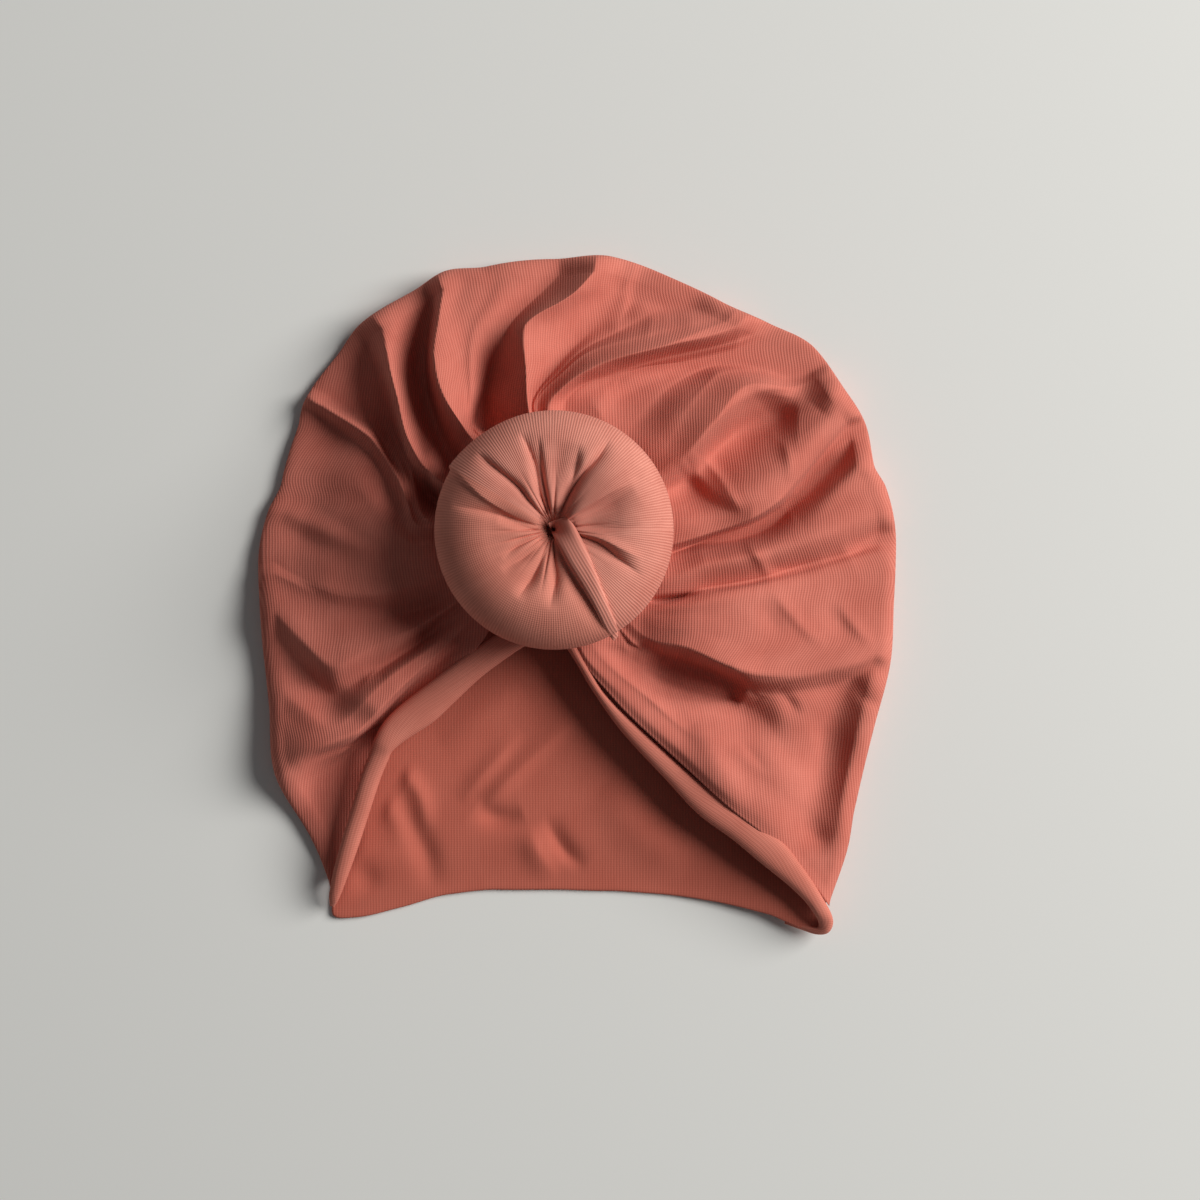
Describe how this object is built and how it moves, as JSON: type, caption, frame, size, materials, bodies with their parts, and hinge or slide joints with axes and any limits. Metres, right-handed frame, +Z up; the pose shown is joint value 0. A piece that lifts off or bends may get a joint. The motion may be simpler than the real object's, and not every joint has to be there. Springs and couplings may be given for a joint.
{
  "type": "turban headwrap",
  "caption": "Knotted turban hat in soft jersey, lying flat: gathered front panel, flat back panel, rolled mouth hems and a padded ring knot.",
  "frame": {"origin": "middle of the cap's outline, on the flat surface it lies on", "axes": "+Z up, out of the knot's face; +Y towards the crown of the cap; the mouth and nape face -Y"},
  "size_m": [0.1754, 0.1857, 0.0472],
  "materials": {
    "front_jersey": "matte ribbed jersey",
    "back_jersey": "matte jersey, smoother reverse side",
    "hem_jersey": "matte jersey, rolled edge",
    "knot_jersey": "matte jersey, stretched over padding"
  },
  "bodies": {
    "root": {"crown_front": "front_jersey", "crown_back": "back_jersey", "hem_left": "hem_jersey", "hem_right": "hem_jersey", "knot_ring": "knot_jersey", "knot_strap": "knot_jersey"}
  },
  "joints": []
}
